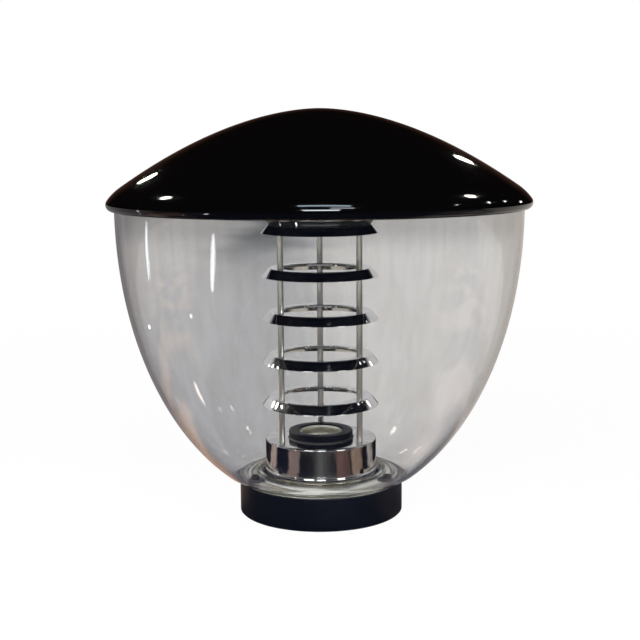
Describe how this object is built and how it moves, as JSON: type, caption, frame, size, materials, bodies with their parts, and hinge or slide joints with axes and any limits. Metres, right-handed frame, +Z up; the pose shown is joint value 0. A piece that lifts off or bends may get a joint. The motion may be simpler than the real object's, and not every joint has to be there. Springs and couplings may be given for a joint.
{
  "type": "pole light head",
  "caption": "Pole-top garden light: black domed canopy over a clear egg-shaped bowl, mirror louvre rings on rods above a lamp holder in a mirror cup, round black collar.",
  "frame": {"origin": "middle of the collar's lower face, where the head sits on the pole", "axes": "+Z up along the light's axis, -Y towards the viewer of the picture"},
  "size_m": [0.42, 0.42, 0.406],
  "materials": {
    "black_powder_coat": "satin powder coat",
    "black_gloss": "high gloss enamel",
    "seal_rubber": "matt",
    "clear_plastic": "clear moulded",
    "black_clip": "satin",
    "dark_screw": "blackened",
    "mirror_cup": "spun and polished",
    "mirror_ring": "spun and polished",
    "bright_tube": "polished tube",
    "steel_rod": "drawn",
    "zinc_steel": "zinc plated",
    "chrome_nut": "bright",
    "white_ceramic": "glazed",
    "cream_ceramic": "glazed",
    "ribbed_black": "moulded thread",
    "ring_black": "satin moulded",
    "plated_shell": "nickel plated",
    "contact_brass": "bright",
    "spring_steel": "spring temper",
    "brown_lead": "silicone sleeve",
    "blue_lead": "silicone sleeve",
    "clamp_plastic": "nylon"
  },
  "bodies": {
    "head": {"collar": "black_powder_coat", "bowl_gasket": "seal_rubber", "bowl": "clear_plastic", "bowl_clips": "black_clip", "clip_screws": "dark_screw", "mirror_cup": "mirror_cup", "cup_pillars": "bright_tube", "tie_rods": "steel_rod", "rod_lock_nuts": "zinc_steel", "rod_washers": "zinc_steel", "rod_dome_nuts": "chrome_nut", "holder_bracket": "zinc_steel", "bracket_screws": "zinc_steel", "holder_screws": "zinc_steel", "holder_base": "white_ceramic", "holder_sleeve": "cream_ceramic", "holder_shell": "ribbed_black", "holder_ring": "ring_black", "screw_shell": "plated_shell", "contact_spring": "spring_steel", "terminal_block": "white_ceramic", "block_screws": "zinc_steel", "terminal_screws": "contact_brass", "live_lead": "brown_lead", "neutral_lead": "blue_lead", "earth_screw": "contact_brass", "cable_clamp": "clamp_plastic", "clamp_screws": "zinc_steel", "top_flare": "mirror_ring", "spacers_1": "bright_tube", "louvre_1": "mirror_ring", "spacers_2": "bright_tube", "louvre_2": "mirror_ring", "spacers_3": "bright_tube", "louvre_3": "mirror_ring", "spacers_4": "bright_tube", "louvre_4": "mirror_ring", "spacers_5": "bright_tube", "louvre_5": "mirror_ring"},
    "canopy_set": {"canopy": "black_gloss", "canopy_gasket": "seal_rubber", "canopy_springs": "spring_steel", "spring_rivets": "zinc_steel"},
    "contact": {"centre_contact": "contact_brass"}
  },
  "joints": [
    {"name": "canopy_lift", "type": "slide", "parent": "head", "child": "canopy_set", "axis": [0, 0, 1], "range_m": [0, 0.08]},
    {"name": "contact_press", "type": "slide", "parent": "head", "child": "contact", "axis": [0, 0, -1], "range_m": [0, 0.002], "stiffness_N_per_m": 1500, "deforming": ["contact_spring"]}
  ]
}
